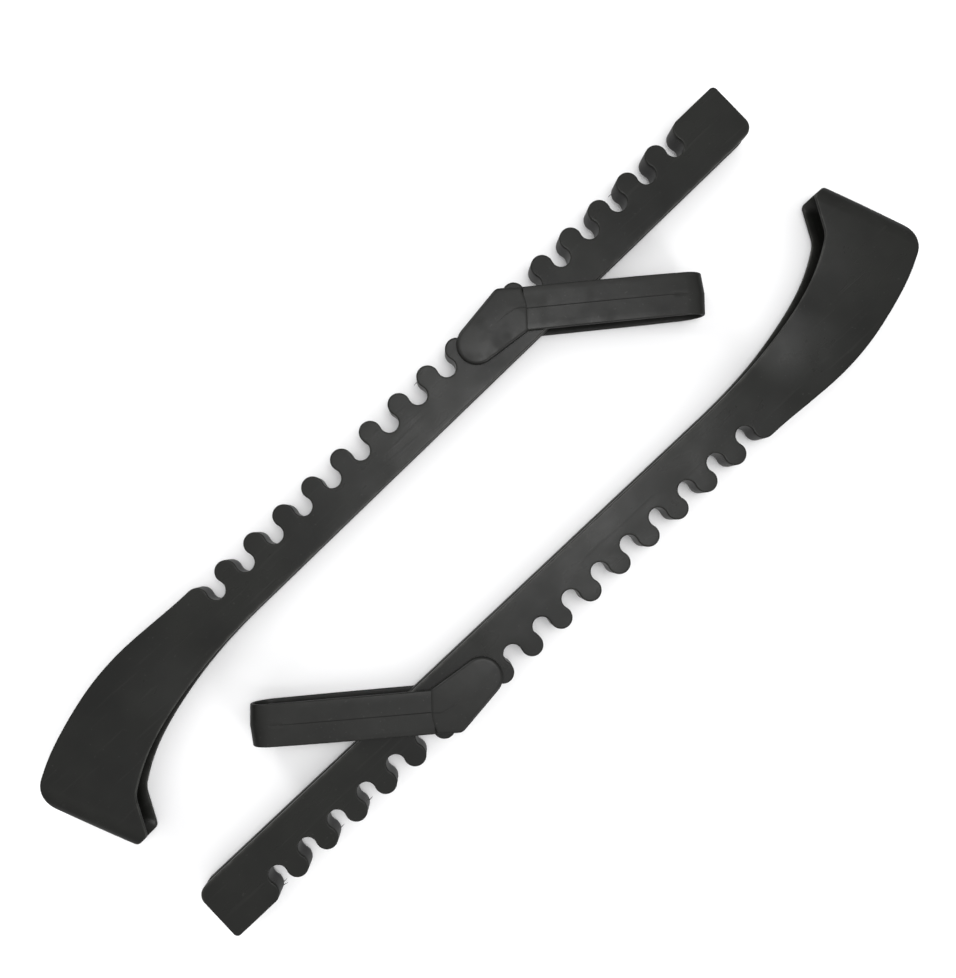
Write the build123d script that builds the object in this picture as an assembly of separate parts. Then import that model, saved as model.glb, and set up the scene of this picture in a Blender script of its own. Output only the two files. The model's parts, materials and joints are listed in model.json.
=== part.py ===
from build123d import *
from math import atan2, cos, degrees, radians, sin
import os

# A pair of blade guards for ice skates, lying on their sides. Each guard is a channel-shaped rail with a
# toothed walking sole and a toe cup, and a rubber strap that hooks into two notches of the sole.
# Millimetres, +Z up. A guard is drawn in its own frame: X from the heel end to the toe, Y from the tips of
# the teeth to the blade slot, Z across its thickness from its middle plane.

# rail, side view
tooth_pitch = 14.0
tooth_count = 16
notch_depth = 9.7
head_radius = 4.0
first_head_x = 18.2
rail_height = 20.9
heel_slot_corner = 4.2
heel_sole_corner = 1.8

# rail, thickness
rail_thickness = 12.4
slot_width = 4.6
slot_floor_y = 12.0
toe_thickness = 17.5
toe_wall = 2.5

# toe cup, side view: the sole from the last round head, the front, the tip and the rim back to the rail
sole_points = [(277.6, -1.15), (288.4, -1.5), (305.8, 0.3), (319.8, 3.9), (334.2, 9.6)]
sole_end_slope = 27.5
nose_corner = (345.9, 15.7)
nose_radius = 11.0
tip_front = (331.7, 51.4)
tip_front_radius = 4.2
tip_back = (324.9, 51.4)
tip_back_radius = 2.0
rim_corner = (318.4, 38.7)
rim_corner_radius = 9.0
rim_points = [(305.6, 31.2), (286.0, 25.2), (267.0, 22.1)]
rim_start_x = 243.0

# toe cup, thickness: it swells from the rail, is widest past the swell and ends in a round bow
swell_start_x = 256.0
swell_end_x = 306.0
hollow_start_x = 260.0
hollow_end_x = 308.0
cup_start_x = 262.0
cup_floor_points = [(262.0, 12.0), (290.0, 9.0), (308.0, 9.4), (322.0, 13.2), (334.5, 20.0)]
# the hollow's front wall, in shares of the front's length: its foot on the floor, and its reach past the tip
hollow_foot_share = 0.25
hollow_past_tip_share = 0.2

# strap, side view
strap_gap = 0.25
band_thickness = 1.7
tongue_thickness = 2.3
band_width = 15.4
band_angle = 38.3
loop_length = 64.0
root_centre = (102.5, 11.35)
# the shoulder where tongue and band meet, as distances ahead of the root centre at the band's two edges
shoulder_low_ahead = -1.7
shoulder_high_ahead = -0.4
elbow = (105.7, -1.47)
tongue_low = (124.73, 0.75)
tongue_end = (131.1, 7.9)
tongue_high = (124.77, 15.05)
peg_notches = (6, 7)
peg_foot_y = -0.4

# flex line of the strap: a round root end, and a loop that turns about its centre
flex_ahead = 7.0
flex_radius = 8.0
flex_gap = 0.3

# the second guard's heel and turn, seen from the first guard's heel
second_heel = (325.8, 104.1)
second_turn = 181.0

# how far shapes that only cut or trim run past the part
reach = 80.0

# worked out from the above
half_pitch = tooth_pitch / 2
radius_sum = (notch_depth ** 2 + half_pitch ** 2) / (2 * notch_depth)
notch_radius = radius_sum - head_radius
tangent_angle = degrees(atan2(notch_depth - radius_sum, half_pitch))
notch_centre_y = notch_depth - notch_radius
half_rail = rail_thickness / 2
half_toe = toe_thickness / 2
half_slot = slot_width / 2


def head_x(index):
    return first_head_x + index * tooth_pitch


def notch_edges(index):
    """The outline from one head's tip, up round the notch after it, and down to the next head's tip."""
    arc_span = 90 + tangent_angle
    notch_centre = (head_x(index) + half_pitch, notch_centre_y)
    return [
        CenterArc((head_x(index), head_radius), head_radius, -90, arc_span),
        CenterArc(notch_centre, notch_radius, 180 + tangent_angle, -2 * arc_span),
        CenterArc((head_x(index + 1), head_radius), head_radius, 180 - tangent_angle, arc_span),
    ]


def rail_side():
    """The rail seen from its side, with sharp corners where the heel, the nose and the tip turn."""
    sole_start = (head_x(tooth_count + 1), 0)
    sole_tangent = (cos(radians(sole_end_slope)), sin(radians(sole_end_slope)))
    sole = Spline(sole_start, *sole_points, tangents=[(1, 0), sole_tangent])
    rim = Spline(rim_corner, *rim_points, (rim_start_x, rail_height), tangents=[(-0.80, -0.60), (-1, 0)])
    edges = [Line((0, 0), (head_x(0), 0))]
    for index in range(tooth_count + 1):
        edges += notch_edges(index)
    edges += [
        sole,
        Line(sole_points[-1], nose_corner),
        Line(nose_corner, tip_front),
        Line(tip_front, tip_back),
        Line(tip_back, rim_corner),
        rim,
        Line((rim_start_x, rail_height), (0, rail_height)),
        Line((0, rail_height), (0, 0)),
    ]
    return make_face(edges)


def round_corner(solid, corner, radius):
    """Rounds the upright edge of a solid that stands at one corner of the side view."""
    upright = solid.edges().filter_by(Axis.Z)
    edge = upright.sort_by(lambda e: (Vector(*corner, 0) - Vector(e.center().X, e.center().Y, 0)).length)[0]
    return fillet(edge, radius)


def side_solid():
    solid = extrude(rail_side(), amount=half_toe, both=True)
    corners = [
        ((0, 0), heel_sole_corner),
        ((0, rail_height), heel_slot_corner),
        (nose_corner, nose_radius),
        (tip_front, tip_front_radius),
        (tip_back, tip_back_radius),
        (rim_corner, rim_corner_radius),
    ]
    for corner, radius in corners:
        solid = round_corner(solid, corner, radius)
    return solid


def plan_solid(half_straight, half_cup, start_x, end_x, bow_x):
    """A strip that swells to the cup's width and ends in a round bow, carried along the front's lean."""
    upper = [
        Line((-reach, half_straight), (start_x, half_straight)),
        Spline((start_x, half_straight), (end_x, half_cup), tangents=[(1, 0), (1, 0)]),
        Line((end_x, half_cup), (bow_x - half_cup, half_cup)),
        CenterArc((bow_x - half_cup, 0), half_cup, 90, -90),
    ]
    lower = [mirror(edge, about=Plane.XZ) for edge in upper]
    closing = Line((-reach, half_straight), (-reach, -half_straight))
    plan = Plane.XZ * make_face(upper + lower + [closing])
    lean = Vector(tip_front[0] - nose_corner[0], tip_front[1] - nose_corner[1], 0).normalized()
    return extrude(plan, amount=reach, dir=-lean) + extrude(plan, amount=reach, dir=lean)


def blade_channel():
    """The slot along the rail, open at the heel, and the hollow of the toe cup that it runs into."""
    slot_end = cup_floor_points[1][0]
    slot = Pos((slot_end - reach) / 2, slot_floor_y + reach / 2, 0) * Box(slot_end + reach, reach, slot_width)
    front = Vector(*tip_front) - Vector(*nose_corner)
    inward = Vector(-front.Y, front.X).normalized() * toe_wall
    wall_top = Vector(*tip_front) + inward + front * hollow_past_tip_share
    wall_foot = Vector(*nose_corner) + inward + front * hollow_foot_share
    floor = Spline(*cup_floor_points, tangents=[(1, 0), (0.75, 0.66)])
    side = make_face([
        floor,
        Line(cup_floor_points[-1], wall_foot),
        Line(wall_foot, wall_top),
        Line(wall_top, (cup_start_x, wall_top.Y)),
        Line((cup_start_x, wall_top.Y), cup_floor_points[0]),
    ])
    inner_bow = bow_x - toe_wall / cos(atan2(-front.X, front.Y))
    plan = plan_solid(half_slot, half_toe - toe_wall, hollow_start_x, hollow_end_x, inner_bow)
    return slot + (extrude(side, amount=half_toe, both=True) & plan)


def make_rail():
    body = side_solid() & plan_solid(half_rail, half_toe, swell_start_x, swell_end_x, bow_x)
    return body - blade_channel()


def strap_point(ahead, across):
    """A point of the strap's band: how far ahead of its root towards the loop's end, and across its width."""
    turn = radians(band_angle)
    x = root_centre[0] - ahead * cos(turn) + across * sin(turn)
    y = root_centre[1] + ahead * sin(turn) + across * cos(turn)
    return (x, y)


def both_sides(face, inner, thickness):
    """A sheet of the given thickness on each side of the rail, standing off its middle plane by inner."""
    sheet = Pos(0, 0, inner) * extrude(face, amount=thickness)
    return sheet + mirror(sheet, about=Plane.XY)


def band_face(start, end):
    corners = [strap_point(start, -band_width / 2), strap_point(end, -band_width / 2),
               strap_point(end, band_width / 2), strap_point(start, band_width / 2)]
    return make_face(Polyline(*corners, close=True))


def tongue_face():
    foot = strap_point(shoulder_low_ahead, -band_width / 2)
    shoulder = strap_point(shoulder_high_ahead, band_width / 2)
    return make_face([
        Line(foot, elbow),
        Line(elbow, tongue_low),
        ThreePointArc(tongue_low, tongue_end, tongue_high),
        Line(tongue_high, shoulder),
        Line(shoulder, root_centre),
        Line(root_centre, foot),
    ])


def peg(index):
    """A peg through one notch, shaped like the notch and clear of it by the strap's gap all round."""
    centre_x = head_x(index) + half_pitch
    top_radius = notch_radius - strap_gap
    shoulder_y = notch_centre_y - top_radius * sin(radians(tangent_angle))
    half_width = top_radius * cos(radians(tangent_angle))
    shank = Pos(centre_x, (shoulder_y + peg_foot_y) / 2) * Rectangle(2 * half_width, shoulder_y - peg_foot_y)
    for head in (head_x(index), head_x(index + 1)):
        shank -= Pos(head, head_radius) * Circle(head_radius + strap_gap)
    outline = shank + Pos(centre_x, notch_centre_y) * Circle(top_radius)
    return extrude(outline, amount=half_rail + strap_gap, both=True)


def make_saddle():
    """The strap's two side tongues, the pegs that join them, and the first stretch of its band."""
    stand_off = half_rail + strap_gap
    tongues = both_sides(tongue_face(), stand_off, tongue_thickness)
    root_end = Pos(*strap_point(flex_ahead, 0)) * Circle(flex_radius)
    strip = band_face(shoulder_low_ahead, flex_ahead + flex_radius)
    root = (band_face(shoulder_low_ahead, flex_ahead) + root_end) & strip
    saddle = tongues + both_sides(root, stand_off, band_thickness)
    for index in peg_notches:
        saddle += peg(index)
    return saddle


def make_loop():
    """The rest of the band: a leg on each side of the rail, and the round turn that joins them."""
    stand_off = half_rail + strap_gap
    outer = stand_off + band_thickness
    turn_start = loop_length - outer
    socket = Pos(*strap_point(flex_ahead, 0)) * Circle(flex_radius + flex_gap)
    legs = both_sides(band_face(flex_ahead, turn_start) - socket, stand_off, band_thickness)
    ring = Cylinder(outer, band_width) - Cylinder(stand_off, band_width)
    half_ring = (Rot(90, 0, 0) * ring) & (Pos(outer, 0, 0) * Box(2 * outer, 2 * band_width, 4 * outer))
    turn = Pos(*strap_point(turn_start, 0)) * Rot(0, 0, 180 - band_angle) * half_ring
    return legs + turn


def guard_place(number):
    """Where a guard's own frame lies in the pair, with the sides of its tongues on the ground."""
    lift = half_rail + strap_gap + tongue_thickness
    if number == 1:
        return Location((0, 0, lift))
    return Location((*second_heel, lift), (0, 0, second_turn))


bow_x = nose_corner[0] + nose_corner[1] * (nose_corner[0] - tip_front[0]) / (tip_front[1] - nose_corner[1])
pieces = {"rail": make_rail(), "strap_saddle": make_saddle(), "strap_loop": make_loop()}
pair = {}
for number in (1, 2):
    for name, shape in pieces.items():
        pair[f"guard_{number}_{name}"] = guard_place(number) * shape

whole = Compound(list(pair.values())).bounding_box()
origin = Vector(whole.center().X, whole.center().Y, whole.min.Z)
print("origin moved to", origin, "size", whole.size)

os.makedirs("parts", exist_ok=True)
for name, shape in pair.items():
    export_step(Pos(-origin) * shape, f"parts/{name}.step")
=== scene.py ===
import json
import bmesh
import bpy
import numpy as np
from math import radians
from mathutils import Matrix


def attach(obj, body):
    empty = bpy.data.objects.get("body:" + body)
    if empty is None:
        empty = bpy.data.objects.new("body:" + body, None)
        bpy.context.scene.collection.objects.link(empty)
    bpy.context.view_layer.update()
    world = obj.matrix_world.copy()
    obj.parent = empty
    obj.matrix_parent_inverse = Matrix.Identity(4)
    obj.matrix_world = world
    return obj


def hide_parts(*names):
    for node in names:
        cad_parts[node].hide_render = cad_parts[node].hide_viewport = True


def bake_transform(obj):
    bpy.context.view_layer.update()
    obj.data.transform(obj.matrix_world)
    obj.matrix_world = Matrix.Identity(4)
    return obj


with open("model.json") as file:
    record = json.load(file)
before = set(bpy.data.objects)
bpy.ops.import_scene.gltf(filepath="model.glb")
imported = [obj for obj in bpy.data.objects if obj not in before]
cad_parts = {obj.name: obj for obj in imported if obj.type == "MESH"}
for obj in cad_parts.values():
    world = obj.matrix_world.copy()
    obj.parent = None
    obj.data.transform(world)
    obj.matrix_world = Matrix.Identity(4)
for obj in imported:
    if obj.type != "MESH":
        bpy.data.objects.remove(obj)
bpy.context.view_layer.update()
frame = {"record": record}

# A pair of blade guards for ice skates. Each guard is worked out in millimetres in its own frame and placed
# at the end: x runs from the heel to the toe, y from the tips of the teeth to the blade slot, z across the
# thickness from the middle plane. Most shapes are made as one half and mirrored across the middle plane.
millimetre = 0.001


# a node of one kind in a material's tree, with values or links for its named or numbered sockets
def addNode(tree, kind, sockets=None, **settings):
    node = tree.nodes.new(kind)
    for key, value in settings.items():
        setattr(node, key, value)
    for key, value in (sockets or {}).items():
        if isinstance(value, bpy.types.NodeSocket):
            tree.links.new(value, node.inputs[key])
        else:
            node.inputs[key].default_value = value
    return node


# cloudy noise over an even or stretched place: from least to 1 as the noise goes through the window
def cloudy(tree, place, scale, detail, window=(0.35, 0.65), stretch=(1, 1, 1), least=0.0):
    moved = addNode(tree, "ShaderNodeMapping", {"Vector": place, "Scale": stretch}).outputs[0]
    sockets = {"Vector": moved, "Scale": scale, "Detail": detail}
    noise = addNode(tree, "ShaderNodeTexNoise", sockets).outputs[0]
    return addNode(tree, "ShaderNodeMapRange", {"Value": noise, "From Min": window[0], "From Max": window[1],
                                                "To Min": least, "To Max": 1.0}).outputs[0]


# a colour on the straight line from the first to the second
def mixColour(tree, share, first, second):
    mix = addNode(tree, "ShaderNodeMix", {0: share, 6: first, 7: second}, data_type="RGBA")
    return mix.outputs[2]


# the product of two numbers
def multiply(tree, first, second):
    return addNode(tree, "ShaderNodeMath", {0: first, 1: second}, operation="MULTIPLY").outputs[0]


# the first number times the second, plus the third
def multiplyAdd(tree, first, second, third):
    sockets = {0: first, 1: second, 2: third}
    return addNode(tree, "ShaderNodeMath", sockets, operation="MULTIPLY_ADD").outputs[0]


# a normal tilted by a height from 0 to 1 times a distance in metres, on top of the normal under it, if any
def bumped(tree, height, distance, under=None):
    sockets = {"Height": height, "Distance": distance, "Strength": 1.0}
    if under is not None:
        sockets["Normal"] = under
    return addNode(tree, "ShaderNodeBump", sockets).outputs[0]


# a new material with its tree, its shader, each point's place on the object and its roundness there
def newMaterial(name):
    material = bpy.data.materials.new(name)
    material.use_nodes = True
    tree = material.node_tree
    place = addNode(tree, "ShaderNodeTexCoord").outputs["Object"]
    edge = addNode(tree, "ShaderNodeAttribute", attribute_name="edgeRound").outputs["Fac"]
    return material, tree, tree.nodes["Principled BSDF"], place, edge


railFinish = {
    "deep": (0.0058, 0.0060, 0.0053, 1), "pale": (0.0100, 0.0103, 0.0090, 1),    # the plastic's two blacks
    # dust, and the pale edge colour: partly wear, partly a painted highlight on the rounded edges
    "dust": (0.030, 0.030, 0.028, 1), "wornAndHighlight": (0.070, 0.070, 0.064, 1),
    "dustShare": 0.5, "scuffShare": 0.12, "wornAndHighlightShare": 0.9,
    "roughness": 0.285, "flowDull": -0.05, "smudgeDull": 0.09, "scuffDull": 0.04, "specular": 0.16,
    "flowScale": 42.0, "smudgeScale": 110.0, "scuffScale": 30.0, "speckScale": 900.0, "patchScale": 260.0,
    "waveScale": 55.0, "grainScale": 2400.0,
    "waveHeight": 0.00036, "grainHeight": 0.000011, "scuffHeight": 0.000008,     # metres
}


# moulded plastic: slow clouds where it flowed into the mould, a fine spark grain, hand smudges, a little
# dust, long faint scuffs along the guard, and paler rounded edges: partly wear where they rub, partly a
# painted highlight
def makeRailPlastic():
    use = railFinish
    material, tree, shader, place, edge = newMaterial("railPlastic")
    flow = cloudy(tree, place, use["flowScale"], 3.0)
    smudge = cloudy(tree, place, use["smudgeScale"], 3.0, (0.25, 0.8), (1, 1.6, 1))
    scuff = cloudy(tree, place, use["scuffScale"], 8.0, (0.60, 0.68), (1, 26, 26))
    speck = cloudy(tree, place, use["speckScale"], 2.0, (0.70, 0.76))
    patchy = cloudy(tree, place, use["patchScale"], 4.0, (0.4, 0.62), least=0.4)
    # where the edges go pale: partly patchy wear, partly a painted highlight along the rounded edges
    wearAndHighlight = multiply(tree, edge, patchy)
    colour = mixColour(tree, flow, use["deep"], use["pale"])
    colour = mixColour(tree, multiply(tree, speck, use["dustShare"]), colour, use["dust"])
    colour = mixColour(tree, multiply(tree, scuff, use["scuffShare"]), colour, use["dust"])
    colour = mixColour(tree, multiply(tree, wearAndHighlight, use["wornAndHighlightShare"]), colour, use["wornAndHighlight"])
    tree.links.new(colour, shader.inputs["Base Color"])
    rough = multiplyAdd(tree, flow, use["flowDull"], use["roughness"])
    rough = multiplyAdd(tree, smudge, use["smudgeDull"], rough)
    rough = multiplyAdd(tree, scuff, use["scuffDull"], rough)
    tree.links.new(rough, shader.inputs["Roughness"])
    wave = cloudy(tree, place, use["waveScale"], 1.0, (0.0, 1.0))
    grain = cloudy(tree, place, use["grainScale"], 2.0, (0.0, 1.0))
    normal = bumped(tree, wave, use["waveHeight"])
    normal = bumped(tree, grain, use["grainHeight"], normal)
    normal = bumped(tree, scuff, use["scuffHeight"], normal)
    tree.links.new(normal, shader.inputs["Normal"])
    shader.inputs["Specular IOR Level"].default_value = use["specular"]
    return material


strapFinish = {
    "deep": (0.0080, 0.0081, 0.0074, 1), "pale": (0.0125, 0.0127, 0.0116, 1),    # the rubber's two blacks
    # dust, and the pale edge colour: partly wear, partly a painted highlight on the rounded edges
    "dust": (0.040, 0.040, 0.038, 1), "wornAndHighlight": (0.024, 0.024, 0.022, 1),
    "dustShare": 0.5, "wornAndHighlightShare": 0.5,
    "roughness": 0.33, "smudgeDull": 0.12, "specular": 0.20, "sheen": 0.02, "sheenRoughness": 0.4,
    "flowScale": 60.0, "smudgeScale": 150.0, "speckScale": 1100.0, "patchScale": 300.0,
    "waveScale": 130.0, "grainScale": 3200.0,
    "waveHeight": 0.00010, "grainHeight": 0.000012,      # metres
}


# soft rubber: more matte than the rail, with finer grain, duller finger marks, clinging dust, and paler
# rounded
# edges: partly wear, partly a painted highlight
def makeStrapRubber():
    use = strapFinish
    material, tree, shader, place, edge = newMaterial("strapRubber")
    flow = cloudy(tree, place, use["flowScale"], 3.0)
    smudge = cloudy(tree, place, use["smudgeScale"], 5.0, (0.48, 0.68))
    speck = cloudy(tree, place, use["speckScale"], 2.0, (0.68, 0.75))
    patchy = cloudy(tree, place, use["patchScale"], 4.0, (0.4, 0.6), least=0.2)
    # where the edges go pale: partly patchy wear, partly a painted highlight along the rounded edges
    wearAndHighlight = multiply(tree, edge, patchy)
    colour = mixColour(tree, flow, use["deep"], use["pale"])
    colour = mixColour(tree, multiply(tree, speck, use["dustShare"]), colour, use["dust"])
    colour = mixColour(tree, multiply(tree, wearAndHighlight, use["wornAndHighlightShare"]), colour, use["wornAndHighlight"])
    tree.links.new(colour, shader.inputs["Base Color"])
    rough = multiplyAdd(tree, smudge, use["smudgeDull"], use["roughness"])
    tree.links.new(rough, shader.inputs["Roughness"])
    wave = cloudy(tree, place, use["waveScale"], 2.0, (0.0, 1.0))
    grain = cloudy(tree, place, use["grainScale"], 2.0, (0.0, 1.0))
    normal = bumped(tree, wave, use["waveHeight"])
    normal = bumped(tree, grain, use["grainHeight"], normal)
    tree.links.new(normal, shader.inputs["Normal"])
    shader.inputs["Specular IOR Level"].default_value = use["specular"]
    shader.inputs["Sheen Weight"].default_value = use["sheen"]
    shader.inputs["Sheen Roughness"].default_value = use["sheenRoughness"]
    return material


railPlastic, strapRubber = makeRailPlastic(), makeStrapRubber()
print("rail plastic and strap rubber mixed")


# the vector over its own length
def unit(vector):
    return np.asarray(vector, float) / np.linalg.norm(vector)


# points of a circle at even angles: centre plus radius times cosine and sine
def arc(centre, radius, start, end, steps):
    angle = np.radians(np.linspace(start, end, steps + 1))
    return np.stack([centre[0] + radius * np.cos(angle), centre[1] + radius * np.sin(angle)], 1)


# 0 below 0, 1 above 1, and three times the square less twice the cube between
def smoothStep(share):
    share = np.clip(share, 0, 1)
    return share * share * (3 - 2 * share)


# one cubic piece between each two points: the Hermite blend of its ends and its two slopes over the chord's
# length. The slopes at the inner points are those that let the bending run on from piece to piece
def smoothThrough(points, startSlope, endSlope, steps):
    points = np.asarray(points, float)
    chord = np.diff(points, axis=0)
    length = np.linalg.norm(chord, axis=1)
    count = len(points)
    matrix, right = np.zeros((count, count)), np.zeros((count, 2))
    matrix[0, 0] = matrix[-1, -1] = 1
    right[0], right[-1] = unit(startSlope), unit(endSlope)
    inner = np.arange(1, count - 1)
    matrix[inner, inner - 1], matrix[inner, inner + 1] = 1 / length[inner - 1], 1 / length[inner]
    matrix[inner, inner] = 2 / length[inner - 1] + 2 / length[inner]
    pull = chord / length[:, None] ** 2
    right[inner] = 3 * (pull[inner - 1] + pull[inner])
    slope = np.linalg.solve(matrix, right)
    t = np.linspace(0, 1, steps, endpoint=False)[None, :, None]
    first, last, span = points[:-1, None], points[1:, None], length[:, None, None]
    curve = ((1 + 2 * t) * (1 - t) ** 2 * first + t * (1 - t) ** 2 * span * slope[:-1, None]
             + t * t * (3 - 2 * t) * last + t * t * (t - 1) * span * slope[1:, None])
    return np.concatenate([curve.reshape(-1, 2), points[-1:]])


# the arc that touches both sides of a corner: its centre is on the bisector, radius over the sine of half
# the corner's angle away, and its points turn evenly from one touching point to the other
def cornerArc(before, corner, after, radius, steps):
    corner = np.asarray(corner, float)
    back, onward = unit(np.asarray(before) - corner), unit(np.asarray(after) - corner)
    half = np.arccos(np.clip(back @ onward, -1, 1)) / 2
    centre = corner + unit(back + onward) * radius / np.sin(half)
    first, last = corner + back * radius / np.tan(half), corner + onward * radius / np.tan(half)
    firstWay, lastWay = unit(first - centre), unit(last - centre)
    turn = np.arccos(np.clip(firstWay @ lastWay, -1, 1))
    share = np.linspace(0, 1, steps + 1)[:, None]
    way = np.sin((1 - share) * turn) * firstWay + np.sin(share * turn) * lastWay
    return centre + radius * way / np.sin(turn)


# one four-sided face between each two neighbours of a grid in both directions
def gridFaces(rows, columns, first=0):
    row, column = np.meshgrid(np.arange(rows - 1), np.arange(columns - 1), indexing="ij")
    corner = (row * columns + column).ravel() + first
    return np.stack([corner, corner + 1, corner + columns + 1, corner + columns], 1)


# points and faces gathered from grids and single faces, each also mirrored across the middle plane if asked
class Shell:
    def __init__(self):
        self.points, self.faces, self.count = [], [], 0

    def addGrid(self, grid, mirrored=False):
        grid = np.asarray(grid, float)
        for side in ((1, -1) if mirrored else (1,)):
            self.faces += gridFaces(grid.shape[0], grid.shape[1], self.count).tolist()
            self.addPoints(grid.reshape(-1, 3) * (1, 1, side))

    def addFace(self, ring, mirrored=False):
        for side in ((1, -1) if mirrored else (1,)):
            self.faces.append(list(range(self.count, self.count + len(ring))))
            self.addPoints(np.asarray(ring, float) * (1, 1, side))

    def addPoints(self, points):
        self.points.append(points)
        self.count += len(points)


rail = {
    "headRadius": 4.0, "notchDepth": 9.7, "pitch": 14.0, "firstHead": 18.2,
    "heads": 18,                     # sixteen whole heads, and half a head at the heel block and at the cup
    "height": 20.9, "half": 6.2, "halfSlot": 2.3, "slotFloor": 12.0,
    "waist": 11.0,                   # the line above the notches where the teeth's flats end
    "heelSlotCorner": 4.2, "heelSoleCorner": 1.8, "floorRadius": 0.8,
    "edge": 0.4, "flat": 0.3,        # radius of the moulded edges, and the flat strip kept beside them
    "arcStep": 9.0, "edgeSteps": 4, "faceRows": 10, "wallRows": 8,
    "rampColumns": 9,                # waist points over which the face's columns turn to the cup's lean
    "fanDrop": 0.05,                 # the middle of a tooth's flat, below the strip round the notches
}


# rows of x, y, then the direction into the part, for points on a round corner: towards the corner's centre
def roundCorner(centre, radius, start, end, steps):
    points = arc(centre, radius, start, end, steps)
    return np.concatenate([points, (centre - points) / radius], 1)


# the wavy sole from heel end to cup, as rows of x, y and the direction into the part. A head is a circle,
# and a notch is the circle that touches the two heads beside it: both radii and the half pitch make a right
# triangle with the height between their centres
def toothedOutline():
    head, pitch = rail["headRadius"], rail["pitch"]
    halfPitch = pitch / 2
    reach = (rail["notchDepth"] ** 2 + halfPitch ** 2) / (2 * rail["notchDepth"])    # both radii together
    notch = reach - head
    notchY = rail["notchDepth"] - notch
    tangent = np.degrees(np.arctan2(rail["notchDepth"] - reach, halfPitch))
    steps = int(round((90 + tangent) / rail["arcStep"]))

    # the sign is 1 where the part lies outside the circle and -1 where it lies inside
    def circlePart(centre, radius, start, end, sign):
        points = arc(centre, radius, start, end, steps)
        return np.concatenate([points, sign * (points - centre) / radius], 1)

    def shifted(part, index):
        return part + (rail["firstHead"] + index * pitch, 0, 0, 0)

    notchBefore = circlePart((-halfPitch, notchY), notch, 90, -tangent, 1)
    headLeft = circlePart((0, head), head, 180 - tangent, 270, -1)
    headRight = circlePart((0, head), head, -90, tangent, -1)
    notchAfter = circlePart((halfPitch, notchY), notch, 180 + tangent, 90, 1)
    tooth = np.concatenate([notchBefore[:-1], headLeft[:-1], headRight[:-1], notchAfter])

    corner = rail["heelSoleCorner"]
    end = np.linspace(rail["slotFloor"], corner, 7)[:-1]
    endFace = np.stack([0 * end, end, 1 + 0 * end, 0 * end], 1)
    turn = roundCorner((corner, corner), corner, 180, 270, 8)
    flat = np.linspace(corner, rail["firstHead"], 7)[1:-1]
    flat = np.stack([flat, 0 * flat, 0 * flat, 1 + 0 * flat], 1)
    cells = [np.concatenate([endFace, turn, flat, shifted(np.concatenate([headRight[:-1], notchAfter]), 0)])]
    cells += [shifted(tooth, index) for index in range(1, rail["heads"] - 1)]
    feet = np.linspace(toe["sole"][0][0], toe["join"], 5)[1:]
    last = fromLean(feet, along(soleCurve, feet))
    lastWay = np.tile((0.0, 1.0), (len(feet), 1))
    lastWay[-1] = lean
    lastHead = shifted(np.concatenate([notchBefore[:-1], headLeft]), rail["heads"] - 1)
    cells.append(np.concatenate([lastHead, np.concatenate([last, lastWay], 1)]))
    return cells


# angles over a moulded edge: 0 on the face, 90 on the side of the part
def edgeAngles():
    return np.radians(np.linspace(0, 90, rail["edgeSteps"] + 1))


# shares of the sole's half width, from the middle plane out to where the edge starts to round
def soleFractions():
    straight = rail["half"] - rail["edge"]
    inner = rail["halfSlot"] + rail["edge"]
    return np.array((0, inner / 2, inner, (inner + straight) / 2, straight)) / straight


# rows across half the sole: flat from the middle plane, then round the edge on to the face, where the
# distance from the plane grows with the sine and the depth with one less the cosine
def soleRows(zEdge, radius):
    angle = edgeAngles()[1:]
    flatZ = (zEdge - radius)[None] * soleFractions()[:, None]
    roundZ = (zEdge - radius)[None] + radius[None] * np.sin(angle)[:, None]
    depth = np.concatenate([0 * flatZ, radius[None] * (1 - np.cos(angle))[:, None]])
    return np.concatenate([flatZ, roundZ]), depth


# rows over the rim's two rounded edges: share of the way through the wall, and depth below the rim
def rimRows(thickness):
    angle = edgeAngles()
    share = rail["edge"] / thickness[None] * (1 - np.cos(angle))[:, None]
    depth = rail["edge"] * (1 - np.sin(angle))[:, None] + 0 * share
    middle = 0.5 + 0 * share[:1]
    return np.concatenate([share, middle, 1 - share[::-1]]), np.concatenate([depth, 0 * middle, depth[::-1]])


# rows down the inner wall, round into the floor and along it to the middle plane: share of the way from rim
# to floor, then distance from the middle plane and height over the floor
def hollowRows(zWall, radius):
    angle = edgeAngles()
    wall = np.linspace(0, 1, rail["wallRows"] + 1)[1:, None] + 0 * zWall[None]
    turnZ = zWall[None] - radius[None] * (1 - np.cos(angle[1:]))[:, None]
    turnUp = radius[None] * (1 - np.sin(angle[1:]))[:, None]
    flatZ = (zWall - radius)[None] * np.array((0.5, 0.0))[:, None]
    return wall, np.concatenate([turnZ, flatZ]), np.concatenate([turnUp, 0 * flatZ])


# the heel end above the slot's floor and its corner at the rim, as rows of x, y and the way into the part
def heelOutline():
    corner, top = rail["heelSlotCorner"], rail["height"]
    upEnd = np.linspace(rail["slotFloor"], top - corner, 4)[:-1]
    upEnd = np.stack([0 * upEnd, upEnd, 1 + 0 * upEnd, 0 * upEnd], 1)
    return np.concatenate([upEnd, roundCorner((corner, top - corner), corner, 180, 90, 10)])


# the waist: one point for each row of the heel's outline, then one every quarter pitch, then the cup's
# first station. It comes down from the slot's floor to its own height over the heel block
def waistLine(heelCount):
    flat, step = rail["edge"] + rail["flat"], rail["pitch"] / 4
    firstMid = rail["firstHead"] - rail["pitch"] / 2
    lastMid = rail["firstHead"] + (rail["heads"] - 1.5) * rail["pitch"]
    x = np.linspace(flat, rail["heelSlotCorner"], heelCount)
    x = np.concatenate([x, np.arange(firstMid - step, lastMid + step / 2, step)])
    end = fromLean(toe["join"], rail["waist"] / lean[1])
    x = np.append(x, [(x[-1] + end[0]) / 2, end[0]])
    line = np.stack([x, np.interp(x, (flat, rail["firstHead"]), (rail["slotFloor"], rail["waist"]))], 1)
    line[-1] = end
    return line


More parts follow.
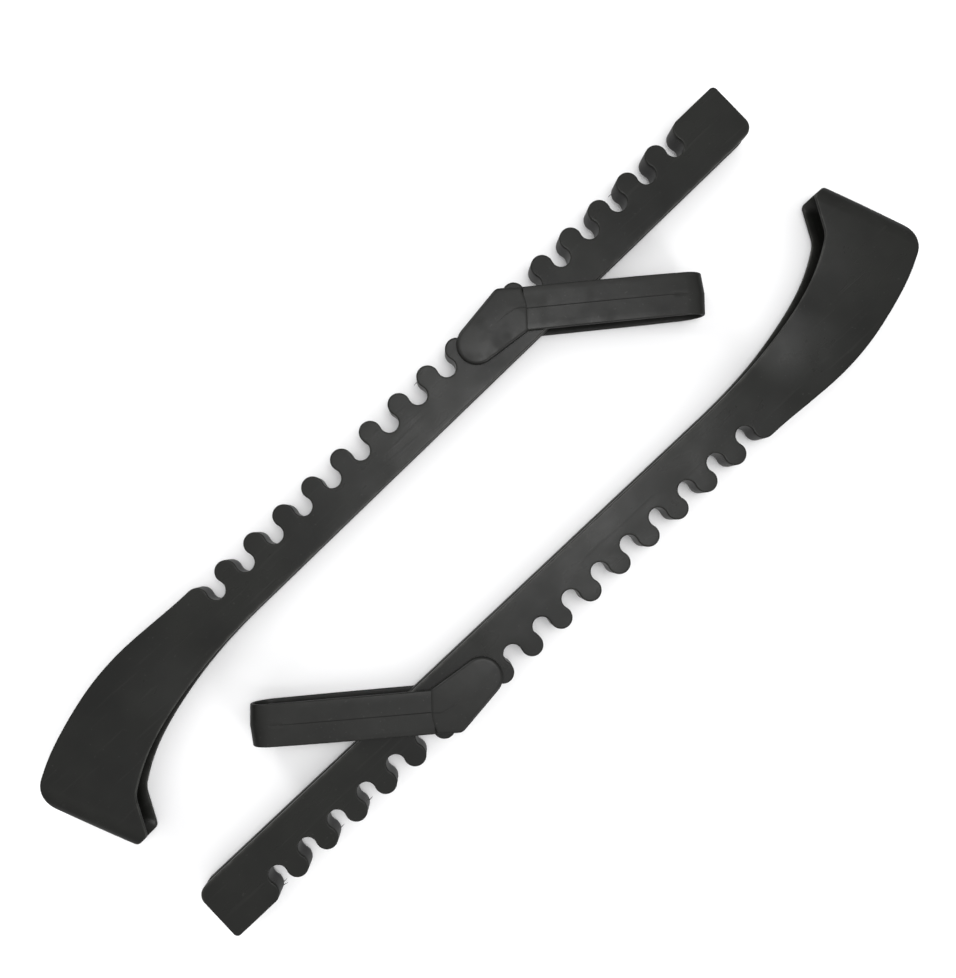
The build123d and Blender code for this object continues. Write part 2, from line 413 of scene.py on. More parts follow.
# the rail's straight part: strips carried along the toothed sole, along the rim and down the channel, a
# face ruled between rim and waist, and one flat for each tooth
def makeStraightRail(shell):
    edge, flat, half = rail["edge"], rail["edge"] + rail["flat"], rail["half"]
    cells = toothedOutline()
    path = np.concatenate([cells[0]] + [cell[1:] for cell in cells[1:]])
    place, inward = path[:, :2], path[:, 2:]

    # the sole: half a flat strip, its round edge and a narrow flat of the face
    z, depth = soleRows(np.full(len(path), half), np.full(len(path), edge))
    z = np.concatenate([z, z[-1:]])
    depth = np.concatenate([depth, depth[-1:] + rail["flat"]])
    points = np.concatenate([place[None] + depth[..., None] * inward[None], z[..., None]], -1)
    shell.addGrid(points, mirrored=True)

    # a rim point over each waist point. A ramp moves them until the last is on the cup's first station
    heel = heelOutline()
    heelCount = len(heel)
    waist = waistLine(heelCount)
    waistX = waist[:, 0]
    rampStart = waistX[-rail["rampColumns"]]
    ramp = smoothStep((waistX - rampStart) / (waistX[-1] - rampStart))[heelCount:]
    endTop = fromLean(toe["join"], along(rimCurve, toe["join"]))
    rimX = waistX[heelCount:] - (waistX[-1] - endTop[0]) * ramp
    railRim = rimCurve[rimCurve[:, 0] < toe["rim"][2][0]]
    rimLine = np.stack([rimX, np.interp(rimX, railRim[:, 0], railRim[:, 1])], 1)
    slope = np.gradient(rimLine[:, 1], rimLine[:, 0])
    down = np.stack([slope, -1 + 0 * slope], 1) / np.hypot(1, slope)[:, None]
    down[-1] = -lean
    upper = np.concatenate([heel, np.concatenate([rimLine, down], 1)])
    place, inward = upper[:, :2], upper[:, 2:]

    # the outer face above the waist, ruled between the two lines
    start = place + inward * flat
    share = np.linspace(0, 1, rail["faceRows"] + 1)[:, None, None]
    face = np.concatenate([(place + inward * edge)[None], start + (waist - start) * share])
    shell.addGrid(np.concatenate([face, np.full(face.shape[:2] + (1,), half)], -1), mirrored=True)

    # the rim's edges
    through, depth = rimRows(np.full(len(upper), half - rail["halfSlot"]))
    z = half - through * (half - rail["halfSlot"])
    rim = np.concatenate([place[None] + depth[..., None] * inward[None], z[..., None]], -1)
    shell.addGrid(rim, mirrored=True)

    # the channel's wall and floor
    floorX = waistX.copy()
    floorX[:heelCount] = np.linspace(edge, rail["heelSlotCorner"], heelCount)
    floorEnd = fromLean(toe["join"], along(floorCurve, toe["join"]))
    floorX[heelCount:] += (floorEnd[0] - waistX[-1]) * ramp
    floor = np.stack([floorX, np.full(len(floorX), rail["slotFloor"])], 1)
    way = np.tile((0.0, 1.0), (len(floor), 1))
    way[-1] = lean
    radius = rail["floorRadius"] * smoothStep(np.arange(len(floor)) / heelCount)
    wallShare, z, up = hollowRows(np.full(len(floor), rail["halfSlot"]), radius)
    wallShare = np.concatenate([np.zeros((1, len(floor))), wallShare])
    begin = place + inward * edge
    foot = floor + way * radius[:, None]
    foot[0] = begin[0]
    wall = begin[None] + (foot - begin)[None] * wallShare[..., None]
    floorRows = floor[None] + way[None] * up[..., None]
    floorRows[:, 0] = begin[0]
    zWall = np.full(wall.shape[:2], rail["halfSlot"])
    channel = np.concatenate([np.concatenate([wall, floorRows]), np.concatenate([zWall, z])[..., None]], -1)
    shell.addGrid(channel, mirrored=True)

    # the bit of floor inside the heel's edge, between the middle plane and the round of the wall
    roundEdge = rim[len(through) // 2 + 1:, 0]
    middle = [(0, rail["slotFloor"], part * (half - edge)) for part in soleFractions()[:2]]
    back = [(edge, rail["slotFloor"], part) for part in z[-2:, 0]]
    shell.addFace(np.concatenate([middle, roundEdge, back]), mirrored=True)

    # each tooth's flat: rings from a point above its neck out to its outline and its stretch of the waist
    toeColumn = makeToe(shell)
    for index, cell in enumerate(cells):
        firstPoint = heelCount + 1 + 4 * index
        ring = cell[:, :2] + cell[:, 2:] * flat
        if index == 0:
            above = waist[1:heelCount + 6]
        elif index < rail["heads"] - 1:
            above = waist[firstPoint:firstPoint + 5]
        else:
            ring = np.concatenate([ring, toeColumn[1:]])
            above = waist[firstPoint:-1]
        ring = np.concatenate([ring, above[::-1]])
        ring = np.concatenate([ring, ring[:1]])
        middleX = rail["firstHead"] + index * rail["pitch"]
        centre = np.array((middleX, rail["notchDepth"] + flat - rail["fanDrop"]))
        rings = centre + (ring - centre)[None] * np.array((0, 0.5, 1))[:, None, None]
        shell.addGrid(np.concatenate([rings, np.full(rings.shape[:2] + (1,), half)], -1), mirrored=True)


toe = {
    "join": 262.0,                   # where the rail's straight part hands over to the cup
    "sole": [(256.2, 0), (277.6, -1.15), (288.4, -1.5), (305.8, 0.3), (319.8, 3.9), (334.2, 9.6)],
    "soleEndSlope": 27.5,            # degrees
    "nose": (345.9, 15.7), "noseRadius": 11.0,
    "tipFront": (331.7, 51.4), "tipFrontRadius": 4.2,
    "tipBack": (324.9, 51.4), "tipBackRadius": 2.0,
    "rimCorner": (318.4, 38.7), "rimCornerRadius": 9.0, "rimEndWay": (0.80, 0.60),
    "rim": [(243.0, 20.9), (267.0, 22.1), (286.0, 25.2), (305.6, 31.2), (318.4, 38.7)],
    "floor": [(262.0, 12.0), (290.0, 9.0), (308.0, 9.4), (322.0, 13.2), (334.5, 20.0)],
    "floorEndWay": (0.75, 0.66), "wallFootShare": 0.25,
    "half": 8.75, "wall": 2.5, "swellStart": 274.0, "swellEnd": 306.0, "hollowEnd": 306.0,
    "flare": 0.7, "flareStart": 312.0, "flareEnd": 340.0,        # the sides stand in, and spread at the nose
    "roundShare": 0.6,               # the most of a width that its rounding may take
    "floorGrowth": 0.8,              # how much rounder the floor's corner gets
    "soleEdge": 1.3, "soleDrop": 1.0, "rimDrop": 0.9, "crownFull": 300.0,
    "curveSteps": 20, "cornerSteps": 12, "roundSteps": 300,
    "stations": 40, "denseStart": 328.0, "denseStations": 34, "bowSteps": 48,
}

# The cup is drawn along the lean of its front. A point is given by its foot, where the leaning line through
# it meets y = 0, and by how far up that line it is.
lean = unit(np.subtract(toe["tipFront"], toe["nose"]))


# foot and way up of points given as x and y: y over the lean's rise is the way up, and the foot is that far
# back
def leanOf(points):
    up = points[:, 1] / lean[1]
    return points[:, 0] - up * lean[0], up


# the point up the leaning line from its foot: the foot's x plus the way up times the lean
def fromLean(foot, up):
    return np.stack([foot + up * lean[0], up * lean[1]], -1)


# the sole with the nose, the rim with the tip, and the hollow's floor, each from the heel side to the
# front: smooth curves through a few points, joined by arcs at the corners
def cupCurves():
    few, many = toe["cornerSteps"], toe["roundSteps"]
    soleEnd = (np.cos(radians(toe["soleEndSlope"])), np.sin(radians(toe["soleEndSlope"])))
    nose = cornerArc(toe["sole"][-1], toe["nose"], toe["tipFront"], toe["noseRadius"], many)
    sole = np.concatenate([smoothThrough(toe["sole"], (1, 0), soleEnd, toe["curveSteps"]), nose])
    beforeCorner = toe["rimCorner"] - np.array(toe["rimEndWay"])
    corner = cornerArc(beforeCorner, toe["rimCorner"], toe["tipBack"], toe["rimCornerRadius"], few)
    rim = smoothThrough(toe["rim"], (1, 0), toe["rimEndWay"], toe["curveSteps"])
    rim = rim[rim[:, 0] < corner[0, 0]]
    back = cornerArc(toe["rimCorner"], toe["tipBack"], toe["tipFront"], toe["tipBackRadius"], few)
    front = cornerArc(toe["tipBack"], toe["tipFront"], toe["nose"], toe["tipFrontRadius"], many)
    rim = np.concatenate([[(0, rail["height"])], rim, corner, back, front])
    inward = np.array((-lean[1], lean[0])) * toe["wall"]
    frontLine = np.subtract(toe["tipFront"], toe["nose"])
    wallFoot = np.add(toe["nose"], inward) + frontLine * toe["wallFootShare"]
    floor = smoothThrough(toe["floor"], (1, 0), toe["floorEndWay"], toe["curveSteps"])
    floor = np.concatenate([[(0, rail["slotFloor"])], floor, [wallFoot]])
    return sole, rim, floor


soleCurve, rimCurve, floorCurve = cupCurves()


# how far up its leaning line each foot meets the curve, read off between the curve's points
def along(curve, foot):
    feet, ups = leanOf(curve)
    order = np.argsort(feet, kind="stable")
    return np.interp(foot, feet[order], ups[order])


# the feet of the cup's outer and inner walls and their distances from the middle plane, at stations along
# the swell and then round the bow, where they are the cosine and the sine of an even turn times the bow's
# radius
def cupStations():
    radius = toe["half"]
    hollowRadius = radius - toe["wall"]
    bow = toe["nose"][0] - toe["nose"][1] * lean[0] / lean[1]
    hollowBow = bow - toe["wall"] / lean[1]
    angle = np.radians(np.linspace(90, 0, toe["bowSteps"] + 1))
    feet = np.linspace(toe["join"], toe["denseStart"], toe["stations"], endpoint=False)
    denseFeet = np.linspace(toe["denseStart"], bow - radius, toe["denseStations"], endpoint=False)
    feet = np.concatenate([feet, denseFeet])
    outer = np.concatenate([feet, bow - radius + radius * np.cos(angle)])
    swell = smoothStep((feet - toe["swellStart"]) / (toe["swellEnd"] - toe["swellStart"]))
    zOuter = np.concatenate([rail["half"] + (radius - rail["half"]) * swell, radius * np.sin(angle)])
    share = (feet - toe["join"]) / (bow - radius - toe["join"])
    inner = toe["join"] + share * (hollowBow - hollowRadius - toe["join"])
    hollow = smoothStep((inner - toe["join"]) / (toe["hollowEnd"] - toe["join"]))
    zInner = rail["halfSlot"] + (hollowRadius - rail["halfSlot"]) * hollow
    zInner = np.concatenate([zInner, hollowRadius * np.sin(angle)])
    inner = np.concatenate([inner, hollowBow - hollowRadius + hollowRadius * np.cos(angle)])
    zOuter[-1] = zInner[-1] = 0
    return outer, inner, zOuter, zInner


# points from feet, ways up and distances from the middle plane
def leaning(foot, up, z):
    foot, up, z = np.broadcast_arrays(foot, up, z)
    return np.concatenate([fromLean(foot, up), z[..., None]], -1)


# the cup: at each station a section up from the sole, over the face, the rim, the hollow's wall and its
# floor. The face is crowned: it drops with the cube of the nearness to the sole and to the rim, and by the
# flare
def makeToe(shell):
    outer, inner, zOuter, zInner = cupStations()
    edge, flat = rail["edge"], rail["flat"]
    crown = smoothStep((outer - toe["join"]) / (toe["crownFull"] - toe["join"])) * zOuter / toe["half"]
    radius = np.minimum(edge + crown * (toe["soleEdge"] - edge), zOuter * toe["roundShare"])
    soleUp, rimUp = along(soleCurve, outer), along(rimCurve, outer)
    flare = toe["flare"] * smoothStep((toe["flareEnd"] - outer) / (toe["flareEnd"] - toe["flareStart"]))

    def faceZ(up):
        share = (up - soleUp) / (rimUp - soleUp)
        return zOuter - crown * (toe["soleDrop"] * (1 - share) ** 3 + toe["rimDrop"] * share ** 3 + flare)

    z, depth = soleRows(faceZ(soleUp + radius), radius)
    shell.addGrid(leaning(outer, soleUp + depth, z), mirrored=True)

    waistShare = (rail["waist"] / lean[1] - soleUp[0]) / (rimUp[0] - soleUp[0])
    waist = soleUp + waistShare * (rimUp - soleUp)
    share = np.linspace(0, 1, rail["faceRows"] + 1)[:, None]
    rimEdge = rimUp - edge
    lower = soleUp + radius + flat
    upper = rimEdge - flat
    up = np.concatenate([(soleUp + radius)[None], lower + (waist - lower) * share,
                         (waist + (upper - waist) * share)[1:], rimEdge[None]])
    zFace = faceZ(up)
    shell.addGrid(leaning(outer, up, zFace), mirrored=True)

    zRim = zFace[-1]
    through, depth = rimRows(np.hypot(outer - inner, zRim - zInner))
    foot = outer + (inner - outer) * through
    zAcross = zRim + (zInner - zRim) * through
    shell.addGrid(leaning(foot, along(rimCurve, foot) - depth, zAcross), mirrored=True)

    floorRadius = rail["floorRadius"] * (1 + toe["floorGrowth"] * crown)
    floorRadius = np.minimum(floorRadius, zInner * toe["roundShare"])
    floorUp = along(floorCurve, inner)
    wallShare, z, above = hollowRows(zInner, floorRadius)
    wallShare = np.concatenate([0 * wallShare[:1], wallShare])
    top = along(rimCurve, inner) - edge
    wall = leaning(inner, top + (floorUp + floorRadius - top) * wallShare, zInner)
    shell.addGrid(np.concatenate([wall, leaning(inner, floorUp + above, z)]), mirrored=True)
    return fromLean(outer[0], up[1:rail["faceRows"] + 2, 0])     # the first station, from sole to waist


whiskers = {
    "radius": 0.2, "thinning": 0.7, "reach": 1.35, "rooted": 0.25, "curl": 0.22, "z": -5.7,
    "teeth": {1: ((0, -38), (0, -54), (2, -36), (3, -33), (12, -40)),    # tooth and angle in degrees
              2: ((16, -35), (15, -42), (13, -30), (9, -38), (2, -41))},
}


# a hair of flash left by the mould on a tooth: a tube about a line that leaves the round head, turns by the
# curl on its way out, and thins evenly
def makeWhisker(shell, tooth, angle):
    share = np.linspace(0, 1, 6)
    turn = np.radians(angle) + whiskers["curl"] * share
    distance = rail["headRadius"] - whiskers["rooted"] + (whiskers["reach"] + whiskers["rooted"]) * share
    x = rail["firstHead"] + tooth * rail["pitch"] + distance * np.cos(turn)
    y = rail["headRadius"] + distance * np.sin(turn)
    around = np.linspace(0, 2 * np.pi, 7)[None]
    radius = (whiskers["radius"] * (1 - whiskers["thinning"] * share))[:, None]
    side = np.stack([-np.sin(turn), np.cos(turn)], -1)[:, None] * (radius * np.cos(around))[..., None]
    z = whiskers["z"] + radius * np.sin(around)
    grid = np.concatenate([np.stack([x, y], -1)[:, None] + side, z[..., None]], -1)
    grid[:, -1] = grid[:, 0]
    shell.addGrid(grid)
    shell.addFace(grid[0, :-1])
    shell.addFace(grid[-1, :-1])


strap = {
    "gap": 0.25, "band": 1.7, "tongue": 2.3,                     # clearance over the rail, and thicknesses
    "width": 15.4, "endWidth": 15.0, "angle": 38.3, "length": 64.0,
    "root": (102.5, 11.35), "elbow": (105.7, -1.47), "elbowRadius": 3.2,
    "tongueLow": (124.73, 0.75), "tongueEnd": (131.1, 7.9), "tongueHigh": (124.77, 15.05),
    "shoulderLow": -1.7, "shoulderHigh": -0.4,                   # ahead of the root at the band's two edges
    "pegFeet": {6: -0.4, 7: 0.9},                                # each peg's notch, and the y where it ends
    "pegRound": 0.5, "pegIn": 0.2,                               # at its foot, and how far into the tongue
    "taper": 0.8, "bandEdge": 0.5, "columns": (1.4, 3.2, 5.2),   # the section's points on the flat
    "roof": 0.6, "roofStart": 12.0, "roofLength": 14.0,          # starts this far before the end's turn
    "groove": 0.13, "grooveWidth": 0.32, "grooveEnd": 6.0, "grooveFade": 10.0,
    "tongueEdge": 1.0, "tongueStrip": 0.3, "tongueCrown": 0.35, "crownMost": 1.3,
    "tongueCentre": (117.0, 7.6), "tongueSpread": (16.0, 10.5), "rootBend": 0.45,
    "line": [(104.6, 9.2), (107.5, 8.0), (117.0, 7.7)],          # the parting line's way over the tongue
    "lineHeight": 0.06, "lineHalf": 0.14, "lineRise": 0.09,
    "hinge": 7.0, "bendStart": -1.0, "bendEnd": 17.0,            # ahead of the root
}


# a point of the band's plane: the root, plus so much ahead and across in axes turned by the band's angle
def bandPoint(ahead, across):
    turn = radians(strap["angle"])
    x = strap["root"][0] - ahead * np.cos(turn) + across * np.sin(turn)
    y = strap["root"][1] + ahead * np.sin(turn) + across * np.cos(turn)
    return np.stack(np.broadcast_arrays(x, y), -1)


# the band's half width: it goes evenly from the root's width to the far end's
def halfWidth(ahead):
    return (strap["width"] + (strap["endWidth"] - strap["width"]) * ahead / strap["length"]) / 2


# the band's section as points across and out from its middle: round edges, a fine groove where the two
# halves of the mould met, and a roof that falls evenly from the middle by the given height
def bandSection(half, roof, groove):
    edge, thick = strap["bandEdge"], strap["band"] / 2
    angle = np.radians(np.linspace(0, 90, 6))
    side = half - edge
    grooveHalf = strap["grooveWidth"] / 2
    columns = strap["columns"]
    grooveAcross = (0, grooveHalf * 0.35, grooveHalf)
    topAcross = np.concatenate([grooveAcross, columns, side + edge * np.sin(angle)])
    drop = np.concatenate([(groove, groove * 0.75, 0, 0, 0, 0), edge * (1 - np.cos(angle))])
    top = thick - drop - roof * topAcross / half
    under = -thick + np.concatenate([edge * (1 - np.cos(angle[::-1])), np.zeros(4)])
    underAcross = np.concatenate([side + edge * np.sin(angle[::-1]), columns[::-1], (0,)])
    up = np.stack([np.concatenate([topAcross, underAcross]), np.concatenate([top, under])], 1)
    down = (up * (-1, 1))[::-1][1:]
    return np.concatenate([up, down])


# the section carried along one leg, round the far end and back. A leg comes nearer to the middle plane by
# the taper times the square of its way past the bend. The end is a half turn: sine ahead and cosine aside
def makeBand(shell):
    rise = rail["half"] + strap["gap"] + strap["band"] / 2
    turnStart = strap["length"] - rise - strap["band"] / 2
    leg = np.linspace(strap["bendStart"], turnStart, 60)
    turn = np.radians(np.linspace(0, 180, 37))[1:-1]
    pastBend = np.maximum(leg - strap["bendEnd"], 0) / (turnStart - strap["bendEnd"])
    legRise = rise - strap["taper"] * pastBend ** 2
    ahead = np.concatenate([leg, turnStart + rise * np.sin(turn), leg[::-1]])
    lift = np.concatenate([legRise, legRise[-1] * np.cos(turn), -legRise[::-1]])
    firstWay, lastWay = np.tile((0.0, 1.0), (len(leg), 1)), np.tile((0.0, -1.0), (len(leg), 1))
    outward = np.concatenate([firstWay, np.stack([np.sin(turn), np.cos(turn)], 1), lastWay])
    legRoof = smoothStep((leg - turnStart + strap["roofStart"]) / strap["roofLength"]) * 0.5
    roof = strap["roof"] * np.concatenate([legRoof, 0.5 + 0.5 * np.sin(turn), legRoof[::-1]])
    fade = smoothStep((ahead - turnStart + strap["grooveEnd"]) / strap["grooveFade"])
    groove = strap["groove"] * (1 - fade)
    sections = np.stack([bandSection(*sizes) for sizes in zip(halfWidth(ahead), roof, groove)])
    across, out = sections[..., 0], sections[..., 1]
    flat = bandPoint(ahead[:, None] + out * outward[:, :1], across)
    z = lift[:, None] + out * outward[:, 1:]
    grid = np.concatenate([flat, z[..., None]], -1)
    shell.addGrid(grid)
    shell.addFace(grid[0, :-1])
    shell.addFace(grid[-1, :-1])


# the tongue's outline, anticlockwise: straight sides, a round elbow, an end that is the circle through
# three points, and a quadratic curve where the tongue runs on under the band's root
def tongueOutline():
    foot = bandPoint(strap["shoulderLow"], -strap["width"] / 2)
    shoulder = bandPoint(strap["shoulderHigh"], strap["width"] / 2)
    root = np.array(strap["root"])
    low, end, high = (np.array(strap[key]) for key in ("tongueLow", "tongueEnd", "tongueHigh"))
    chords = np.array((end - low, high - low)) * 2
    centre = np.linalg.solve(chords, [end @ end - low @ low, high @ high - low @ low])
    radius = np.linalg.norm(low - centre)
    angles = [np.degrees(np.arctan2(*(point - centre)[::-1])) for point in (low, high)]
    roundEnd = arc(centre, radius, angles[0], angles[1], 26)
    elbow = cornerArc(foot, strap["elbow"], low, strap["elbowRadius"], 8)
    side = np.linspace(0, 1, 12)[1:-1, None]
    lowSide = elbow[-1] + (low - elbow[-1]) * side
    highSide = high + (shoulder - high) * side
    share = np.linspace(0, 1, 9)[1:, None]
    bend = root + (root - shoulder) * strap["rootBend"]
    underBand = (1 - share) ** 2 * root + 2 * share * (1 - share) * bend + share * share * foot
    top = shoulder + (root - shoulder) * np.linspace(0, 1, 8)[1:, None]
    footSide = foot + (elbow[0] - foot) * np.linspace(0, 1, 4)[1:-1, None]
    return np.concatenate([elbow, lowSide, roundEnd, highSide, [shoulder], top, underBand, footSide])


# rings step inwards from the outline: the inner face, the side, the round edge and rings across the outer
# face, which sinks by the parting line's height, and by the crown times the square of the distance from its
# centre over the spread
def makeTongue(shell):
    outline = tongueOutline()
    ahead = np.roll(outline, -1, 0) - np.roll(outline, 1, 0)
    inward = np.stack([-ahead[:, 1], ahead[:, 0]], 1) / np.linalg.norm(ahead, axis=1)[:, None]
    centre = np.array(strap["tongueCentre"])
    edge, low = strap["tongueEdge"], rail["half"] + strap["gap"]
    high = low + strap["tongue"]
    angle = np.radians(np.linspace(0, 90, 6))
    innerRing = outline + inward * (edge + strap["tongueStrip"])
    rings = [(centre + 0 * outline, low), (outline, low), (outline, low + (high - edge - low) / 2)]
    rings += [(outline + inward * edge * (1 - np.cos(a)), high - edge * (1 - np.sin(a))) for a in angle]
    rings += [(centre + (innerRing - centre) * size, high) for size in (0.99, 0.85, 0.7, 0.55, 0.4, 0.2, 0)]
    grid = np.stack([np.concatenate([ring, np.full((len(ring), 1), z)], 1) for ring, z in rings])
    away = (((grid[..., :2] - centre) / strap["tongueSpread"]) ** 2).sum(-1)
    upper = np.clip((grid[..., 2] - low) / (high - low), 0, 1)
    crown = strap["tongueCrown"] * np.minimum(away, strap["crownMost"])
    grid[..., 2] -= (strap["lineHeight"] + crown) * upper
    shell.addGrid(np.concatenate([grid, grid[:, :1]], 1), mirrored=True)


# a fine raised line over the tongue, where the parting of the mould runs on from the band and fades: half
# an ellipse about a smooth curve, its size going with a sine along the way
def makePartingLine(shell):
    line = smoothThrough([bandPoint(-0.3, -0.2)] + strap["line"], (0.75, -0.66), (1, 0), 10)
    ahead = np.gradient(line, axis=0)
    side = np.stack([-ahead[:, 1], ahead[:, 0]], 1) / np.linalg.norm(ahead, axis=1)[:, None]
    angle = np.radians(np.linspace(0, 180, 7))
    size = np.sin(np.linspace(0.35, np.pi, len(line)))[:, None]
    low = rail["half"] + strap["gap"] + strap["tongue"] - strap["lineRise"]
    flat = line[:, None] + side[:, None] * (strap["lineHalf"] * np.cos(angle) * size)[..., None]
    z = low + strap["lineRise"] * np.sin(angle) * size
    grid = np.concatenate([flat, z[..., None]], -1)
    grid = np.concatenate([grid, grid[:, :1]], 1)
    shell.addGrid(grid, mirrored=True)
    shell.addFace(grid[0, :-1], mirrored=True)


# a peg through one notch, carried from tongue to tongue: at each height it is as wide as the neck between
# the two heads or as the notch's own circle, whichever is less, both drawn in by the gap
def makePeg(shell, index):
    head, halfPitch = rail["headRadius"], rail["pitch"] / 2
    reach = (rail["notchDepth"] ** 2 + halfPitch ** 2) / (2 * rail["notchDepth"])
    notch = reach - head - strap["gap"]
    notchY = rail["notchDepth"] - reach + head
    crownY = notchY + notch * np.sin(np.radians(np.linspace(0, 90, 16)))[1:]
    y = np.concatenate([np.linspace(strap["pegFeet"][index], notchY, 24), crownY])
    neck = halfPitch - np.sqrt(np.maximum((head + strap["gap"]) ** 2 - (y - head) ** 2, 0))
    crown = np.sqrt(np.maximum(notch ** 2 - np.maximum(y - notchY, 0) ** 2, 0))
    wide = np.minimum(neck, crown)
    wide[:4] -= strap["pegRound"] * (1 - np.sqrt(np.linspace(0, 1, 4)))
    middle = rail["firstHead"] + (index + 0.5) * rail["pitch"]
    outline = np.concatenate([np.stack([middle + wide, y], 1), np.stack([middle - wide, y], 1)[::-1][1:]])
    reachZ = rail["half"] + strap["gap"] + strap["pegIn"]
    heights = np.linspace(-reachZ, reachZ, 5)
    layers = [np.concatenate([outline, np.full((len(outline), 1), z)], 1) for z in heights]
    grid = np.stack(layers)
    shell.addGrid(np.concatenate([grid, grid[:, :1]], 1))
    shell.addFace(grid[0])
    shell.addFace(grid[-1])


# the guard's origin and axes in the row's frame, from its strap's hinge point and slide direction
def guardPlace(number):
    joints = {joint["name"]: joint for joint in frame["record"]["behaviour"]["joints"]}
    ahead = np.array(joints[f"strap_{number}_position"]["axis"], float)
    hinge = np.array(joints[f"strap_{number}_swing"]["pos_m"], float)
    aside = np.cross((0, 0, 1), ahead)
    hingePoint = bandPoint(strap["hinge"], 0.0)
    origin = hinge - (ahead * hingePoint[0] + aside * hingePoint[1]) * millimetre
    return origin, ahead, aside


# millimetres of the guard's frame as metres of the row's: the origin plus each coordinate along its axis
def placed(points, number):
    origin, ahead, aside = guardPlace(number)
    toToe, toSlot, upward = points[:, :1] * ahead, points[:, 1:2] * aside, points[:, 2:] * (0, 0, 1)
    return origin + millimetre * (toToe + toSlot + upward)


edgeWearAndHighlight = {
    "radius": 0.0005,                # metres: an edge this round or sharper gets the most pale edge colour, partly wear and partly a painted highlight
    "rimStart": 0.013, "rimLength": 0.006, "soleShare": 0.25,    # metres up the side, and the sole's share
}


# how round each point's surroundings are, as an attribute: the mean over its edges of the change of normal
# along the edge over its length, 0 on flat and hollow stretches and 1 where the radius is half a millimetre
# or less, and less on the sole's side. It masks the edges' pale colour, partly wear and partly a painted
# highlight that is kept mostly to the rim's side
def markEdges(mesh, number):
    count = len(mesh.vertices)
    normals, places = np.empty(count * 3), np.empty(count * 3)
    ends = np.empty(len(mesh.edges) * 2, int)
    mesh.vertices.foreach_get("normal", normals)
    mesh.vertices.foreach_get("co", places)
    mesh.edges.foreach_get("vertices", ends)
    normals, places, ends = normals.reshape(-1, 3), places.reshape(-1, 3), ends.reshape(-1, 2)
    step = places[ends[:, 1]] - places[ends[:, 0]]
    turn = normals[ends[:, 1]] - normals[ends[:, 0]]
    bend = (turn * step).sum(1) / np.maximum((step ** 2).sum(1), 1e-12)
    total, weight = np.zeros(count), np.zeros(count)
    for side in (0, 1):
        np.add.at(total, ends[:, side], bend)
        np.add.at(weight, ends[:, side], 1.0)
    origin, ahead, aside = guardPlace(number)
    rimSide = smoothStep(((places - origin) @ aside - edgeWearAndHighlight["rimStart"]) / edgeWearAndHighlight["rimLength"])
    most = edgeWearAndHighlight["soleShare"] + (1 - edgeWearAndHighlight["soleShare"]) * rimSide
    roundness = np.clip(total / np.maximum(weight, 1) * edgeWearAndHighlight["radius"], 0, 1) * most
    mesh.attributes.new("edgeRound", "FLOAT", "POINT").data.foreach_set("value", roundness)


# the shell as an object at the origin: placed, its doubles merged, its faces turned outwards and shaded
# smooth but for edges sharper than 40 degrees
def makePiece(name, shell, number, material):
    points = placed(np.concatenate(shell.points), number)
    mesh = bpy.data.meshes.new(name)
    mesh.from_pydata(points.tolist(), [], shell.faces)
    work = bmesh.new()
    work.from_mesh(mesh)
    bmesh.ops.remove_doubles(work, verts=work.verts, dist=2e-6)
    bmesh.ops.dissolve_degenerate(work, dist=1e-7, edges=work.edges)
    bmesh.ops.recalc_face_normals(work, faces=work.faces)
    for face in work.faces:
        face.smooth = True
    work.to_mesh(mesh)
    work.free()
    markEdges(mesh, number)
    mesh.set_sharp_from_angle(angle=radians(40.0))
    mesh.materials.append(material)
    piece = bpy.data.objects.new(name, mesh)
    bpy.context.collection.objects.link(piece)
    return piece


for number in (1, 2):
    shell = Shell()
    makeStraightRail(shell)
    for tooth, angle in whiskers["teeth"][number]:
        makeWhisker(shell, tooth, angle)
    piece = makePiece(f"guard_{number}_rail_moulding", shell, number, railPlastic)
    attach(piece, f"guard_{number}")
    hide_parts(f"guard_{number}_rail")
print("rails made")

for number in (1, 2):
    shell = Shell()
    makeBand(shell)
    makeTongue(shell)
    makePartingLine(shell)
    for index in strap["pegFeet"]:
        makePeg(shell, index)
    piece = makePiece(f"guard_{number}_strap", shell, number, strapRubber)
    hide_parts(f"guard_{number}_strap_saddle", f"guard_{number}_strap_loop")
    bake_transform(piece)
print("straps made")


view = {
    "place": (-0.01423, 0.00503, 0.40337),
    "turn": (0.814, -0.808, -43.106),    # degrees about X, Y and the vertical
    "lens": 41.83,
    "shift": (0.0237, 0.0228),
}


# a camera almost straight above the pair, turned so that the guards run from corner to corner
def makeCamera():
    data = bpy.data.cameras.new("camera")
    data.sensor_fit = "HORIZONTAL"
    data.sensor_width = 36
    data.lens = view["lens"]
    data.shift_x, data.shift_y = view["shift"]
    data.clip_start = 0.01
    camera = bpy.data.objects.new("camera", data)
    camera.location = view["place"]
    camera.rotation_euler = [radians(angle) for angle in view["turn"]]
    bpy.context.collection.objects.link(camera)
    bpy.context.scene.camera = camera


makeCamera()
print("camera made")


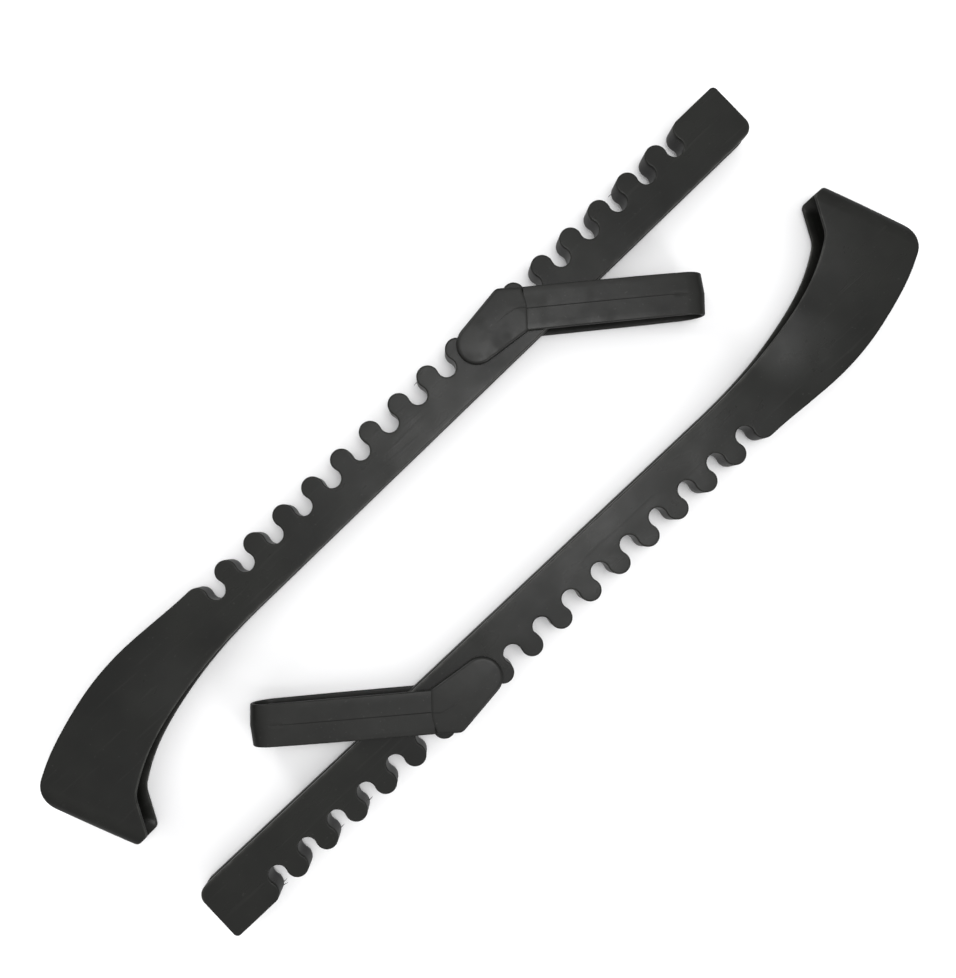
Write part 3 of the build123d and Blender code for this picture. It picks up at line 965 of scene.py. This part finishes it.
light = {
    "floorColour": (0.93, 0.93, 0.935, 1), "floorRoughness": 0.9, "floorSpecular": 0.1, "floorReach": 3.0,
    "skyLow": 0.35, "skyHigh": 1.35,    # the studio's brightness at the horizon and overhead
    "lamps": {
        "key": {"place": (0.145, -0.015, 1.2), "size": 0.3, "watts": 3.5},
        "leftStrip": {"place": (0.0, 1.05, 0.5), "size": 0.35, "watts": 3.6},
        "rightStrip": {"place": (0.0, -1.05, 0.55), "size": 0.4, "watts": 3.4},
    },
}


# a square of white paper under the pair
def makeFloor():
    mesh = bpy.data.meshes.new("floor")
    reach = light["floorReach"]
    corners = [(-reach, -reach, 0), (reach, -reach, 0), (reach, reach, 0), (-reach, reach, 0)]
    mesh.from_pydata(corners, [], [(0, 1, 2, 3)])
    floor = bpy.data.objects.new("floor", mesh)
    bpy.context.collection.objects.link(floor)
    paper = bpy.data.materials.new("floorPaper")
    paper.use_nodes = True
    shader = paper.node_tree.nodes["Principled BSDF"]
    shader.inputs["Base Color"].default_value = light["floorColour"]
    shader.inputs["Roughness"].default_value = light["floorRoughness"]
    shader.inputs["Specular IOR Level"].default_value = light["floorSpecular"]
    mesh.materials.append(paper)
    floor.visible_glossy = False     # so that the guards' edges stay dark and don't mirror the paper


# square lamps that face the origin: tipped by the angle between the vertical and the way to the lamp, and
# turned to its side
def makeLamps():
    for name, use in light["lamps"].items():
        data = bpy.data.lights.new(name, "AREA")
        data.size = use["size"]
        data.energy = use["watts"]
        lamp = bpy.data.objects.new(name, data)
        x, y, z = use["place"]
        lamp.location = use["place"]
        lamp.rotation_euler = (np.arctan2(np.hypot(x, y), z), 0, np.arctan2(x, -y))
        bpy.context.collection.objects.link(lamp)


# a white studio whose brightness grows with a direction's height, evenly from the horizon to overhead
def makeStudio():
    world = bpy.data.worlds.new("studio")
    world.use_nodes = True
    tree = world.node_tree
    direction = addNode(tree, "ShaderNodeTexCoord").outputs["Generated"]
    height = addNode(tree, "ShaderNodeSeparateXYZ", {0: direction})
    glow = addNode(tree, "ShaderNodeMapRange", {"Value": height.outputs[2], "To Min": light["skyLow"],
                                                "To Max": light["skyHigh"]})
    tree.links.new(glow.outputs[0], tree.nodes["Background"].inputs["Strength"])
    tree.nodes["Background"].inputs["Color"].default_value = (1, 1, 1, 1)
    bpy.context.scene.world = world
    bpy.context.scene.view_settings.view_transform = "Standard"


makeFloor()
makeLamps()
makeStudio()
print("floor, lamps and studio made")

bpy.context.view_layer.update()
